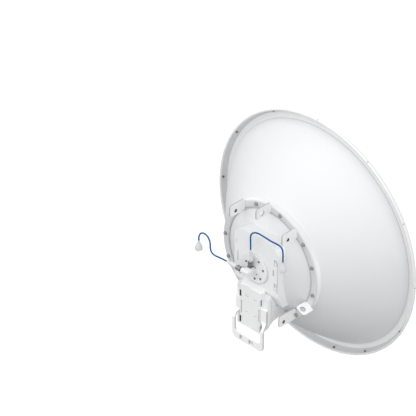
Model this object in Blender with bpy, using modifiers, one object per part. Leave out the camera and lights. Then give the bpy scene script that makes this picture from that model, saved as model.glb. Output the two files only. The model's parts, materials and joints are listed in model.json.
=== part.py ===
# Parabolic dish antenna seen from behind: deep spun reflector, pressed backing ring with
# bolting tabs, back cover with the feed flange and two coaxial ports, radio mount and jumpers.
# Antenna frame: metres, +Y out of the dish's mouth, +X right and +Z up, zero in the middle of
# the backing ring's flat back face. Every piece hangs on an empty that moves this frame so that
# the world origin lies on the bolting face of the upper right mast tab.
import math

import bmesh
import bpy
from mathutils import Matrix, Vector

MM = 0.001
GAP = 0.3 * MM
# How far a cutter runs past what it cuts
CUT_MORE = 60 * MM

# Reflector: a paraboloid y = VERTEX + r * r / (4 * FOCAL), measured on its back surface
VERTEX = -64 * MM
FOCAL = 175 * MM
SHEET = 3 * MM
MOUTH_HOLE_R = 45 * MM
BOWL_R = 494 * MM
FLANGE_R = 521 * MM
LIP_R = 527 * MM
LIP_BACK = 251 * MM
CURL_R = 3.5 * MM
TURN_STEPS = 72
FINE_STEPS = 48
PLUG_STEPS = 32
BOWL_STATIONS = 13

# Backing ring, a pressed channel that stands on the bowl
RING_IN = 224 * MM
RING_FACE_OUT = 250 * MM
RING_OUT = 258 * MM
RING_WALL = 4 * MM

# Bolting tabs, flat plates that stand back from the ring
TAB_THICK = 6 * MM
TAB_CORNER = 11 * MM
TAB_FOOT = 5 * MM
TAB_X = 140 * MM
TAB_HOLE_R = 7.5 * MM
# Side, lowest and highest z, reach, then the hole's reach and z, in mm
MAST_TABS = {
    "mast_tab_upper_left": (-1, 168, 221, 79, 48, 187),
    "mast_tab_upper_right": (1, 168, 221, 79, 48, 187),
    "mast_tab_lower_right": (1, -210, -157, 90, 65, -191),
}
LIFT_HOLE_R = 12 * MM
# Angle in degrees, inner and outer radius, reach, then the eye's reach and radius, in mm
LIFTING_TABS = {
    "lifting_tab_top": (90, 222, 270, 78, 46, 242),
    "lifting_tab_lower_right": (-27, 220, 267, 56, 37, 242),
}

# Back cover over the middle of the bowl
COVER_BACK = -75 * MM
COVER_HALF = 117 * MM
COVER_TOP = 153 * MM
COVER_TOP_CORNER = 60 * MM
COVER_SLOPE_TOP = -90 * MM
COVER_BOTTOM = -150 * MM
COVER_BOTTOM_BACK = -42 * MM
COVER_EDGE = 7 * MM
COVER_BLANK_FRONT = 5 * MM

# Feed flange, hub and transducer block on the cover
FLANGE_PLATE_R = 65 * MM
FLANGE_PLATE_THICK = 7 * MM
HUB_R = 31 * MM
HUB_THICK = 1.6 * MM
HUB_X = -5 * MM
HUB_Z = -11 * MM
BLOCK_LEFT = -24 * MM
BLOCK_RIGHT = 8 * MM
BLOCK_BACK = -131 * MM
BLOCK_LOW = -18 * MM
BLOCK_HIGH = 6 * MM
BLOCK_CHAMFER = 5 * MM

# Coaxial ports and the plugs that sit on them
PORT_BOSS_R = 12 * MM
PORT_BOSS_LENGTH = 8 * MM
PORT_UP = Vector((-5 * MM, -100 * MM, BLOCK_HIGH))
PORT_LEFT = Vector((BLOCK_LEFT, -118 * MM, -6 * MM))
PORT_FLANGE_R = 11 * MM
PORT_FLANGE_THICK = 3 * MM
PORT_NECK_R = 6.8 * MM
PORT_NECK_LENGTH = 4 * MM
PORT_THREAD_R = 8.5 * MM
PORT_THREAD_LENGTH = 12 * MM
NUT_R = 10.8 * MM
NUT_LENGTH = 20 * MM
SLEEVE_R = 10.5 * MM
SLEEVE_LENGTH = 33 * MM
RELIEF_R = 6 * MM
RELIEF_LENGTH = 19 * MM

# Jumper cables, with a loose end in a soft boot
CABLE_R = 3.1 * MM
CABLE_POINT_EVERY = 16 * MM
END_BOOT_R = 14.5 * MM
END_BOOT_LENGTH = 45 * MM
END_BORE_R = 6 * MM
END_BORE_DEPTH = 15 * MM
END_PLUG_R = 4.5 * MM

# Radio mount below the cover
ARM_LEFT = -59.5 * MM
ARM_RIGHT = 57 * MM
ARM_BACK = -93 * MM
ARM_TOP = -71 * MM
ARM_SHELF = -84 * MM
ARM_BOTTOM = -276 * MM
ARM_FRONT = -47 * MM
ARM_TOE = 12 * MM
# How far the arm stays below the cover's slope
ARM_SLOPE_ROOM = 9 * MM
ARM_EDGE = 3 * MM
ARM_POCKET_DEPTH = 16 * MM
MOUNT_LEFT = -57.5 * MM
MOUNT_RIGHT = 51.5 * MM
MOUNT_BACK = -101 * MM
MOUNT_TOP = -88 * MM
MOUNT_BOTTOM = -281 * MM
# Slots right through the mount plate: left, lowest, right and highest, in mm
MOUNT_SLOTS = (
    (-54, -228, -49, -168),
    (41, -228, 46, -168),
    (-31, -135.5, -15, -131.5),
    (14, -135.5, 30, -131.5),
    (-31, -212, -15, -208),
    (14, -212, 30, -208),
)
# Notches in the plate's two edges: lowest and highest, in mm
MOUNT_NOTCHES = ((-152, -120), (-276, -242))
NOTCH_DEPTH = 5.5 * MM
MOUNT_SLOT_CORNER = 1.2 * MM
# Blocks beside the arm, from the lugs to the bowl and the ring
BRACE_TOP = -157 * MM
BRACE_RING_END = -210 * MM
BRACE_BACK_END = -230 * MM
# Points of the braces' lower edge: depth and height, in mm
BRACE_LOWER_EDGE = ((-34, -216), (-60, -220), (-66, -224))

# Hoop that hangs from two lugs beside the arm
HOOP_HALF = 84 * MM
HOOP_STRAP = 15 * MM
HOOP_END_LEFT = -58 * MM
HOOP_END_RIGHT = 52 * MM
HOOP_TOP = -155 * MM
HOOP_BOTTOM = -346 * MM
HOOP_BAR = 34 * MM
HOOP_UPPER_BACK = -101 * MM
HOOP_LOWER_BACK = -120 * MM
HOOP_THICK = 7.7 * MM
HOOP_STEP_TOP = -214 * MM
HOOP_STEP_BOTTOM = -250 * MM
HOOP_CORNER = 24 * MM
# Pockets in the bar: left, lowest, right and highest, in mm
HOOP_POCKETS = ((-42, -339, -27, -319), (8, -339, 31, -319))
HOOP_POCKET_DEPTH = 5.5 * MM
LUG_TOP = -120 * MM
LUG_BOTTOM = -230 * MM
LUG_FRONT = -72 * MM

# Feed on the mouth side, on the dish's axis
FEED_TUBE_R = 30 * MM
FEED_COLLAR_R = 43 * MM
FEED_COLLAR_FRONT = -30 * MM
FEED_TUBE_FRONT = 88 * MM
FEED_CONE_R = 52 * MM
FEED_CONE_FRONT = 124 * MM
SPLASH_R = 62 * MM
SPLASH_THICK = 6 * MM

# World origin, on the outer face of the upper right mast tab
ORIGIN = Vector((TAB_X + TAB_THICK / 2, -20 * MM, 188 * MM))

for old in list(bpy.data.objects):
    bpy.data.objects.remove(old, do_unlink=True)

parts = bpy.data.collections.new("parabolic_dish_antenna")
cutters = bpy.data.collections.new("cutters")
bpy.context.scene.collection.children.link(parts)
bpy.context.scene.collection.children.link(cutters)

frame = bpy.data.objects.new("antenna_frame", None)
frame.location = -ORIGIN
parts.objects.link(frame)


def material(name, colour, roughness, metallic=0.0):
    made = bpy.data.materials.new(name)
    made.use_nodes = True
    shader = made.node_tree.nodes["Principled BSDF"]
    shader.inputs["Base Color"].default_value = (*colour, 1)
    shader.inputs["Roughness"].default_value = roughness
    shader.inputs["Metallic"].default_value = metallic
    return made


PAINT = material("white_paint", (0.80, 0.81, 0.82), 0.45)
SHADE_PAINT = material("ring_paint", (0.72, 0.73, 0.75), 0.45)
PLASTIC = material("white_plastic", (0.84, 0.84, 0.85), 0.5)
STEEL = material("bright_metal", (0.62, 0.61, 0.60), 0.25, 1.0)
SLEEVE = material("milky_sleeve", (0.80, 0.83, 0.90), 0.35)
CABLE = material("blue_cable", (0.03, 0.22, 0.62), 0.4)

# Turns local +Z to the antenna's +Y
TO_BORESIGHT = Matrix.Rotation(-math.pi / 2, 4, "X")
# Turns local XY into the antenna's XZ, with local +Z to -Y
FACE_BACK = Matrix.Rotation(math.pi / 2, 4, "X")
# Turns local X to Y, Y to Z and Z to X
FACE_RIGHT = Matrix.Rotation(math.pi / 2, 4, "Z") @ Matrix.Rotation(math.pi / 2, 4, "X")
# Turns local +Z to -X
TO_LEFT = Matrix.Rotation(-math.pi / 2, 4, "Y")


def bowl(radius):
    """Height of the reflector's back surface along +Y at a radius."""
    return VERTEX + radius * radius / (4 * FOCAL)


def add(name, mesh, mat, pose=None, smooth=30):
    """A part from a mesh, placed in the antenna frame."""
    obj = bpy.data.objects.new(name, mesh)
    mesh.materials.append(mat)
    parts.objects.link(obj)
    obj.parent = frame
    if pose is not None:
        obj.matrix_local = pose
    mesh.shade_smooth()
    mesh.set_sharp_from_angle(angle=math.radians(smooth))
    return obj


def bevel(obj, width, segments=2, angle=30):
    """Rounds a part's sharp edges."""
    rounded = obj.modifiers.new("Bevel", "BEVEL")
    rounded.width = width
    rounded.segments = segments
    rounded.limit_method = "ANGLE"
    rounded.angle_limit = math.radians(angle)


def turned(name, profile, mat, pose=TO_BORESIGHT, steps=TURN_STEPS, closed=True):
    """A closed section (radius, height) spun about local Z by a Screw modifier."""
    area = sum(a[0] * b[1] - b[0] * a[1] for a, b in zip(profile, profile[1:] + profile[:1]))
    ring = profile if area < 0 else profile[::-1]
    if not closed:
        ring = profile
    mesh = bpy.data.meshes.new(name)
    edges = [(i, i + 1) for i in range(len(ring) - 1)]
    if closed:
        edges.append((len(ring) - 1, 0))
    mesh.from_pydata([(r, 0, h) for r, h in ring], edges, [])
    obj = add(name, mesh, mat, pose)
    spin = obj.modifiers.new("Screw", "SCREW")
    spin.axis = "Z"
    spin.steps = steps
    spin.render_steps = steps
    spin.use_merge_vertices = True
    spin.merge_threshold = 0.00001
    spin.use_smooth_shade = True
    return obj


def outline_mesh(name, outline, thickness, holes=()):
    """A flat outline in XY with holes, as a closed plate of the given thickness."""
    curve = bpy.data.curves.new(name, "CURVE")
    curve.dimensions = "2D"
    curve.fill_mode = "BOTH"
    curve.extrude = thickness / 2
    for points in (outline, *holes):
        spline = curve.splines.new("POLY")
        spline.points.add(len(points) - 1)
        for point, (x, y) in zip(spline.points, points):
            point.co = (x, y, 0, 1)
        spline.use_cyclic_u = True
    return mesh_from_curve(curve)


def mesh_from_curve(curve):
    """The curve's evaluated mesh, with its loose caps welded on."""
    holder = bpy.data.objects.new("curve", curve)
    cutters.objects.link(holder)
    evaluated = holder.evaluated_get(bpy.context.evaluated_depsgraph_get())
    mesh = bpy.data.meshes.new_from_object(evaluated)
    bpy.data.objects.remove(holder, do_unlink=True)
    shape = bmesh.new()
    shape.from_mesh(mesh)
    bmesh.ops.remove_doubles(shape, verts=shape.verts, dist=0.00001)
    bmesh.ops.recalc_face_normals(shape, faces=shape.faces)
    shape.to_mesh(mesh)
    shape.free()
    return mesh


def circle(x, y, radius, count=20):
    turn = 2 * math.pi / count
    return [(x + radius * math.cos(i * turn), y + radius * math.sin(i * turn)) for i in range(count)]


def arc(x, y, radius, start, end, count=6):
    """Points on an arc, with its angles in degrees."""
    step = math.radians(end - start) / count
    first = math.radians(start)
    return [
        (x + radius * math.cos(first + i * step), y + radius * math.sin(first + i * step))
        for i in range(count + 1)
    ]


def rounded_box(left, low, right, high, radius, count=4):
    """A rectangle's outline with four round corners."""
    return (
        arc(right - radius, high - radius, radius, 0, 90, count)
        + arc(left + radius, high - radius, radius, 90, 180, count)
        + arc(left + radius, low + radius, radius, 180, 270, count)
        + arc(right - radius, low + radius, radius, 270, 360, count)
    )


def box_mesh(name, low, high):
    mesh = bpy.data.meshes.new(name)
    shape = bmesh.new()
    bmesh.ops.create_cube(shape, size=1)
    size = Vector(high) - Vector(low)
    middle = (Vector(high) + Vector(low)) / 2
    bmesh.ops.scale(shape, vec=size, verts=shape.verts)
    bmesh.ops.translate(shape, vec=middle, verts=shape.verts)
    shape.to_mesh(mesh)
    shape.free()
    return mesh


def cut(obj, cutter, operation="DIFFERENCE"):
    """Takes the cutter away from a part, or joins or intersects it, with an exact Boolean."""
    for collection in list(cutter.users_collection):
        collection.objects.unlink(cutter)
    cutters.objects.link(cutter)
    cutter.hide_render = True
    cutter.display_type = "WIRE"
    boolean = obj.modifiers.new(operation.capitalize(), "BOOLEAN")
    boolean.operation = operation
    boolean.solver = "EXACT"
    boolean.object = cutter


def cut_box(obj, low, high):
    """Takes a box between two corners away from a part."""
    name = obj.name + "_box_cutter"
    cut(obj, add(name, box_mesh(name, low, high), PLASTIC))


def bowl_radii():
    """Stations of the bowl's section, shared by the reflector and what is cut to fit it."""
    step = (BOWL_R - MOUTH_HOLE_R) / (BOWL_STATIONS - 1)
    return [MOUTH_HOLE_R + step * i for i in range(BOWL_STATIONS)]


def reflector():
    """Spun paraboloid bowl, with a hole for the feed."""
    radii = bowl_radii()
    back = [(r, bowl(r)) for r in radii]
    front = []
    for r in radii:
        slope = r / (2 * FOCAL)
        length = math.hypot(1, slope)
        front.append((r - SHEET * slope / length, bowl(r) + SHEET / length))
    turned("reflector", back + front[::-1], PAINT)


def rim():
    """Flat flange round the bowl, with a lip turned back and a curled edge."""
    start = BOWL_R + GAP
    step = 1 * MM
    corner = 3 * MM
    flange_back = bowl(BOWL_R) + step
    curl_foot = LIP_BACK + 2.2 * CURL_R
    profile = [(start, bowl(BOWL_R)), (BOWL_R + corner, flange_back)]
    profile += [(FLANGE_R - corner, flange_back + step), (FLANGE_R, flange_back - corner)]
    profile += [(LIP_R - CURL_R / 2, curl_foot)]
    profile += arc(LIP_R + SHEET / 2, LIP_BACK + CURL_R, CURL_R, 180, 360, 6)
    profile += [(LIP_R + CURL_R, curl_foot), (FLANGE_R + SHEET, flange_back - step)]
    profile += [(FLANGE_R, flange_back + 2 * step + SHEET), (start, flange_back + SHEET)]
    turned("rim", profile, PAINT)


def backing_ring():
    """Pressed ring whose two walls stand on the bowl."""
    inner_foot = RING_IN + RING_WALL
    outer_foot = RING_OUT - RING_WALL
    edge = 1 * MM
    bend = 5 * MM
    profile = [
        (RING_IN, bowl(RING_IN) - GAP),
        (RING_IN, edge),
        (RING_IN + edge, 0),
        (RING_FACE_OUT, 0),
        (RING_FACE_OUT + 0.7 * bend, 0.3 * bend),
        (RING_FACE_OUT + bend, bend),
        (RING_OUT, bowl(RING_OUT) - GAP),
        (outer_foot, bowl(outer_foot) - GAP),
        (RING_FACE_OUT + edge, bend + edge),
        (RING_FACE_OUT - edge, RING_WALL),
        (inner_foot, RING_WALL),
        (inner_foot, bowl(inner_foot) - GAP),
    ]
    turned("backing_ring", profile, SHADE_PAINT)


def tab_outline(reach, low, high):
    """Side view of a tab: small chamfers at the ring and two round corners at its free end."""
    outline = [(-GAP - TAB_FOOT, low), (-GAP, low + TAB_FOOT)]
    outline += [(-GAP, high - TAB_FOOT), (-GAP - TAB_FOOT, high)]
    outline += arc(-reach + TAB_CORNER, high - TAB_CORNER, TAB_CORNER, 90, 180, 4)
    outline += arc(-reach + TAB_CORNER, low + TAB_CORNER, TAB_CORNER, 180, 270, 4)
    return outline


def mast_tab(name, side, low, high, reach, hole_reach, hole_height):
    """Bolting plate in a YZ plane, with one bolt hole."""
    outline = tab_outline(reach * MM, low * MM, high * MM)
    hole = circle(-hole_reach * MM, hole_height * MM, TAB_HOLE_R, 16)
    pose = Matrix.Translation((side * TAB_X, 0, 0)) @ FACE_RIGHT
    add(name, outline_mesh(name, outline, TAB_THICK, [hole]), SHADE_PAINT, pose)


def lifting_tab(name, angle, inner, outer, reach, eye_reach, eye_radius):
    """Plate in a radial plane, with a large eye."""
    outline = tab_outline(reach * MM, inner * MM, outer * MM)
    hole = circle(-eye_reach * MM, eye_radius * MM, LIFT_HOLE_R, 20)
    pose = Matrix.Rotation(math.radians(90 - angle), 4, "Y") @ FACE_RIGHT
    add(name, outline_mesh(name, outline, TAB_THICK, [hole]), SHADE_PAINT, pose)


def bowl_and_ring_cutter(name):
    """Everything in front of the bowl's back surface and of the ring's flat face."""
    inner = RING_IN - GAP
    profile = [(0, CUT_MORE), (RING_OUT, CUT_MORE), (RING_OUT, -GAP)]
    profile += [(inner, -GAP), (inner, bowl(inner) - GAP)]
    profile += [(r, bowl(r) - GAP) for r in bowl_radii()[::-1] if r < inner]
    profile += [(0, bowl(MOUTH_HOLE_R) - GAP)]
    return turned(name, profile, PLASTIC, closed=False)


def back_cover():
    """Moulded cover: arched top, flat back face, lower end sloping down to the ring."""
    outline = [(-COVER_HALF, COVER_BOTTOM), (COVER_HALF, COVER_BOTTOM)]
    inset = COVER_HALF - COVER_TOP_CORNER
    crown = COVER_TOP - COVER_TOP_CORNER
    outline += arc(inset, crown, COVER_TOP_CORNER, 0, 90, 7)
    outline += arc(-inset, crown, COVER_TOP_CORNER, 90, 180, 7)
    depth = COVER_BLANK_FRONT - COVER_BACK
    pose = Matrix.Translation((0, (COVER_BLANK_FRONT + COVER_BACK) / 2, 0)) @ FACE_BACK
    cover = add("back_cover", outline_mesh("back_cover", outline, depth), PLASTIC, pose)
    slope = (COVER_BOTTOM_BACK - COVER_BACK) / (COVER_SLOPE_TOP - COVER_BOTTOM)
    low = COVER_BOTTOM - CUT_MORE
    wedge = [
        (COVER_BACK - CUT_MORE, COVER_SLOPE_TOP),
        (COVER_BACK, COVER_SLOPE_TOP),
        (COVER_BACK + slope * (COVER_SLOPE_TOP - low), low),
        (COVER_BACK - CUT_MORE, low),
    ]
    wedge_mesh = outline_mesh("cover_slope_cutter", wedge, 4 * COVER_HALF)
    cut(cover, add("cover_slope_cutter", wedge_mesh, PLASTIC, FACE_RIGHT))
    bevel(cover, COVER_EDGE, 3, 25)
    cut(cover, bowl_and_ring_cutter("cover_bowl_cutter"))


def feed_flange():
    """Round flange that carries the transducer, screwed to the cover."""
    back = COVER_BACK - GAP - FLANGE_PLATE_THICK
    front = COVER_BACK - GAP
    edge = 2 * MM
    profile = [
        (0, front),
        (FLANGE_PLATE_R, front),
        (FLANGE_PLATE_R, back + edge),
        (FLANGE_PLATE_R - edge, back),
        (0, back),
    ]
    turned("feed_flange", profile, PLASTIC, closed=False)


def feed_hub():
    """Thin round step under the transducer block."""
    front = COVER_BACK - 2 * GAP - FLANGE_PLATE_THICK
    back = front - HUB_THICK
    edge = 0.6 * MM
    profile = [(0, front), (HUB_R, front), (HUB_R, back + edge), (HUB_R - edge, back), (0, back)]
    pose = Matrix.Translation((HUB_X, 0, HUB_Z)) @ TO_BORESIGHT
    turned("feed_hub", profile, PLASTIC, pose, FINE_STEPS, closed=False)


def transducer_block():
    """Chamfered block with a round boss for each port."""
    front = COVER_BACK - 3 * GAP - FLANGE_PLATE_THICK - HUB_THICK
    mesh = box_mesh("transducer_block", (BLOCK_LEFT, BLOCK_BACK, BLOCK_LOW), (BLOCK_RIGHT, front, BLOCK_HIGH))
    block = add("transducer_block", mesh, PLASTIC)
    bevel(block, BLOCK_CHAMFER, 1)
    sunk = 12 * MM
    for name, place, pose in (("boss_up", PORT_UP, Matrix()), ("boss_left", PORT_LEFT, TO_LEFT)):
        profile = [(0, PORT_BOSS_LENGTH), (PORT_BOSS_R, PORT_BOSS_LENGTH), (PORT_BOSS_R, -sunk), (0, -sunk)]
        boss = turned(name, profile, PLASTIC, Matrix.Translation(place) @ pose, PLUG_STEPS, closed=False)
        cut(block, boss, "UNION")


def port(name, place, pose):
    """Threaded coaxial socket on its flange, along local +Z."""
    start = PORT_BOSS_LENGTH + GAP
    neck = start + PORT_FLANGE_THICK
    thread = neck + PORT_NECK_LENGTH
    end = thread + PORT_THREAD_LENGTH
    profile = [
        (0, end),
        (PORT_THREAD_R, end),
        (PORT_THREAD_R, thread),
        (PORT_NECK_R, thread - 1 * MM),
        (PORT_NECK_R, neck),
        (PORT_FLANGE_R, neck),
        (PORT_FLANGE_R, start),
        (0, start),
    ]
    turned(name, profile, STEEL, Matrix.Translation(place) @ pose, PLUG_STEPS, closed=False)


def plug(number, place, pose):
    """Plug on a port: threaded nut, milky sleeve and its strain relief, along local +Z."""
    seat = PORT_BOSS_LENGTH + GAP + PORT_FLANGE_THICK + PORT_NECK_LENGTH
    thread_end = seat + PORT_THREAD_LENGTH
    nut_start = seat + 2 * MM
    nut_end = nut_start + NUT_LENGTH
    at = Matrix.Translation(place) @ pose
    nut = [
        (0, nut_end),
        (NUT_R - 1 * MM, nut_end),
        (NUT_R, nut_end - 1 * MM),
        (NUT_R, nut_start + 1 * MM),
        (NUT_R - 1 * MM, nut_start),
        (PORT_THREAD_R + GAP, nut_start),
        (PORT_THREAD_R + GAP, thread_end + GAP),
        (0, thread_end + GAP),
    ]
    turned(f"plug_{number}_nut", nut, STEEL, at, PLUG_STEPS, closed=False)
    sleeve_start = nut_end + GAP
    sleeve_end = sleeve_start + SLEEVE_LENGTH
    sleeve = [
        (0, sleeve_end),
        (RELIEF_R + 1 * MM, sleeve_end),
        (SLEEVE_R, sleeve_end - 6 * MM),
        (SLEEVE_R, sleeve_start),
        (0, sleeve_start),
    ]
    turned(f"plug_{number}_sleeve", sleeve, SLEEVE, at, PLUG_STEPS, closed=False)
    relief_start = sleeve_end + GAP
    relief_end = relief_start + RELIEF_LENGTH
    relief = [
        (0, relief_end),
        (CABLE_R + 1 * MM, relief_end),
        (RELIEF_R, relief_end - 9 * MM),
        (RELIEF_R, relief_start),
        (0, relief_start),
    ]
    turned(f"plug_{number}_relief", relief, SLEEVE, at, 24, closed=False)
    return at @ Vector((0, 0, relief_end + GAP))


def smooth_route(points, spacing):
    """Evenly spaced points on a smooth curve through the route's own points."""
    places = [Vector(p) for p in points]
    ends = [2 * places[0] - places[1]] + places + [2 * places[-1] - places[-2]]
    dense = []
    for before, start, end, after in zip(ends, ends[1:], ends[2:], ends[3:]):
        for i in range(24):
            t = i / 24
            dense.append(
                0.5
                * (
                    2 * start
                    + (end - before) * t
                    + (2 * before - 5 * start + 4 * end - after) * t**2
                    + (3 * start - before - 3 * end + after) * t**3
                )
            )
    dense.append(places[-1])
    lengths = [0]
    for a, b in zip(dense, dense[1:]):
        lengths.append(lengths[-1] + (b - a).length)
    count = max(2, round(lengths[-1] / spacing))
    route = []
    index = 0
    for i in range(count + 1):
        goal = lengths[-1] * i / count
        while index < len(dense) - 2 and lengths[index + 1] < goal:
            index += 1
        part = (goal - lengths[index]) / (lengths[index + 1] - lengths[index])
        route.append(dense[index].lerp(dense[index + 1], min(1, max(0, part))))
    return route


def cable(name, points):
    """Round jumper cable along its route."""
    curve = bpy.data.curves.new(name, "CURVE")
    curve.dimensions = "3D"
    curve.bevel_depth = CABLE_R
    curve.bevel_resolution = 2
    curve.use_fill_caps = True
    route = smooth_route(points, CABLE_POINT_EVERY)
    spline = curve.splines.new("POLY")
    spline.points.add(len(route) - 1)
    for point, place in zip(spline.points, route):
        point.co = (*place, 1)
    return add(name, mesh_from_curve(curve), CABLE)


def cable_end(number, top):
    """Soft boot that hangs from the cable, with the small plug in its mouth."""
    start = -GAP
    end = start - END_BOOT_LENGTH
    boot = [
        (0, start),
        (CABLE_R + 1.2 * MM, start),
        (CABLE_R + 2.4 * MM, start - 8 * MM),
        (END_BOOT_R - 2 * MM, start - 20 * MM),
        (END_BOOT_R, start - 30 * MM),
        (END_BOOT_R - 0.5 * MM, end),
        (END_BORE_R, end),
        (END_BORE_R, end + END_BORE_DEPTH),
        (0, end + END_BORE_DEPTH),
    ]
    turned(f"jumper_{number}_boot", boot, SLEEVE, Matrix.Translation(top), PLUG_STEPS, closed=False)
    plug_top = end + END_BORE_DEPTH - GAP
    plug_end = end + 2 * MM
    pin = [(0, plug_top), (END_PLUG_R, plug_top), (END_PLUG_R, plug_end), (0, plug_end)]
    turned(f"jumper_{number}_end_plug", pin, STEEL, Matrix.Translation(top), 16, closed=False)


def route_mm(points):
    return [Vector(p) * MM for p in points]


def jumpers():
    """Two jumpers: each runs from its plug, over a bend and down to its hanging boot."""
    start_up = plug(1, PORT_UP, Matrix())
    over = [(-5, -100, 118), (-4, -102, 148), (0, -103, 168), (14, -103, 184), (36, -103, 192)]
    over += [(70, -103, 192), (105, -103, 190), (148, -103, 191)]
    down = [(164, -103, 184), (169, -103, 168), (170, -103, 148), (170, -103, 125)]
    route = [start_up] + route_mm(over + down)
    cable("jumper_1_cable", route)
    cable_end(1, route[-1])
    start_left = plug(2, PORT_LEFT, TO_LEFT)
    over = [(-150, -118, -8), (-180, -118, -11), (-199, -118, -5), (-206, -118, 12), (-208, -118, 38)]
    down = [(-220, -118, 58), (-240, -118, 64), (-258, -118, 56), (-268, -118, 38), (-270, -118, 19)]
    route = [start_left] + route_mm(over + down)
    cable("jumper_2_cable", route)
    cable_end(2, route[-1])


def mount_arm():
    """Deep box below the feed flange, pocketed behind the slots of the radio's mount plate."""
    front = COVER_BACK - GAP
    profile = [
        (front, ARM_TOP),
        (ARM_BACK, ARM_SHELF),
        (ARM_BACK, ARM_BOTTOM),
        (ARM_FRONT - ARM_TOE, ARM_BOTTOM + ARM_EDGE),
        (ARM_FRONT, ARM_BOTTOM + 1.5 * ARM_TOE),
        (ARM_FRONT, COVER_BOTTOM - ARM_SLOPE_ROOM),
        (front, COVER_SLOPE_TOP - ARM_SLOPE_ROOM),
    ]
    pose = Matrix.Translation(((ARM_LEFT + ARM_RIGHT) / 2, 0, 0)) @ FACE_RIGHT
    arm = add("mount_arm", outline_mesh("mount_arm", profile, ARM_RIGHT - ARM_LEFT), PLASTIC, pose)
    bevel(arm, ARM_EDGE)
    deep = ARM_BACK + ARM_POCKET_DEPTH
    for left, low, right, high in MOUNT_SLOTS[:2]:
        cut_box(arm, (left * MM, ARM_BACK - CUT_MORE, low * MM), (right * MM, deep, high * MM))
    for low, high in MOUNT_NOTCHES:
        for left in (MOUNT_LEFT, MOUNT_RIGHT - NOTCH_DEPTH):
            right = left + NOTCH_DEPTH
            cut_box(arm, (left, ARM_BACK - CUT_MORE, low * MM), (right, deep, high * MM))


def mount_plate():
    """Flat plate for the radio, with hook slots, side slots and notches in both edges."""
    right = [(MOUNT_RIGHT, MOUNT_BOTTOM)]
    left = [(MOUNT_LEFT, MOUNT_BOTTOM)]
    for low, high in MOUNT_NOTCHES[::-1]:
        for edge, inner in ((right, MOUNT_RIGHT - NOTCH_DEPTH), (left, MOUNT_LEFT + NOTCH_DEPTH)):
            outer = edge[0][0]
            edge += [(outer, low * MM), (inner, low * MM), (inner, high * MM), (outer, high * MM)]
    outline = right + [(MOUNT_RIGHT, MOUNT_TOP), (MOUNT_LEFT, MOUNT_TOP)] + left[::-1]
    slots = []
    for slot in MOUNT_SLOTS:
        slots.append(rounded_box(*[edge * MM for edge in slot], MOUNT_SLOT_CORNER, 2))
    thick = ARM_BACK - GAP - MOUNT_BACK
    pose = Matrix.Translation((0, (MOUNT_BACK + ARM_BACK - GAP) / 2, 0)) @ FACE_BACK
    add("mount_plate", outline_mesh("mount_plate", outline, thick, slots), PLASTIC, pose)


def arm_brace(name, inner, outer):
    """Block beside the arm that carries it on the bowl and on the ring's flat face."""
    back = LUG_FRONT + GAP
    front = bowl(RING_OUT)
    profile = [(back, BRACE_TOP), (front, BRACE_TOP), (front, BRACE_RING_END)]
    profile += [(y * MM, z * MM) for y, z in BRACE_LOWER_EDGE]
    profile += [(back, BRACE_BACK_END)]
    pose = Matrix.Translation(((inner + outer) / 2, 0, 0)) @ FACE_RIGHT
    brace = add(name, outline_mesh(name, profile, abs(outer - inner)), PLASTIC, pose)
    cut(brace, bowl_and_ring_cutter(f"{name}_cutter"))


def pivot_lug(name, inner, outer):
    """Side lug that carries one arm of the hoop."""
    low, high = sorted((inner, outer))
    back = HOOP_UPPER_BACK + HOOP_THICK + GAP
    mesh = box_mesh(name, (low, back, LUG_BOTTOM), (high, LUG_FRONT, LUG_TOP))
    bevel(add(name, mesh, PLASTIC), ARM_EDGE)


def hoop():
    """U-shaped guard: wide upper ends on the lugs, a step back and a deep bottom bar."""
    outer = HOOP_HALF
    inner = HOOP_HALF - HOOP_STRAP
    corner = HOOP_CORNER
    bend = HOOP_CORNER - HOOP_STRAP / 2
    bar_top = HOOP_BOTTOM + HOOP_BAR
    neck = HOOP_STEP_TOP - HOOP_STRAP
    outline = [(-inner, neck), (HOOP_END_LEFT, HOOP_STEP_TOP), (HOOP_END_LEFT, HOOP_TOP), (-outer, HOOP_TOP)]
    outline += arc(-outer + corner, HOOP_BOTTOM + corner, corner, 180, 270, 6)
    outline += arc(outer - corner, HOOP_BOTTOM + corner, corner, 270, 360, 6)
    outline += [(outer, HOOP_TOP), (HOOP_END_RIGHT, HOOP_TOP), (HOOP_END_RIGHT, HOOP_STEP_TOP), (inner, neck)]
    outline += arc(inner - bend, bar_top + bend, bend, 0, -90, 5)
    outline += arc(-inner + bend, bar_top + bend, bend, 270, 180, 5)
    pose = Matrix.Translation((0, HOOP_LOWER_BACK, 0)) @ FACE_BACK
    guard = add("hoop_guard", outline_mesh("hoop_guard", outline, 2 * CUT_MORE), PLASTIC, pose)
    top = HOOP_TOP + CUT_MORE
    low = HOOP_BOTTOM - CUT_MORE
    side = [
        (HOOP_UPPER_BACK, top),
        (HOOP_UPPER_BACK, HOOP_STEP_TOP),
        (HOOP_LOWER_BACK, HOOP_STEP_BOTTOM),
        (HOOP_LOWER_BACK, low),
    ]
    side += [(y + HOOP_THICK, z) for y, z in side[::-1]]
    band = add("hoop_side_view", outline_mesh("hoop_side_view", side, 4 * HOOP_HALF), PLASTIC, FACE_RIGHT)
    cut(guard, band, "INTERSECT")
    bevel(guard, 1.5 * MM, 1)
    for left, bottom, right, high in HOOP_POCKETS:
        deep = HOOP_LOWER_BACK + HOOP_POCKET_DEPTH
        cut_box(guard, (left * MM, HOOP_LOWER_BACK - CUT_MORE, bottom * MM), (right * MM, deep, high * MM))


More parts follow.
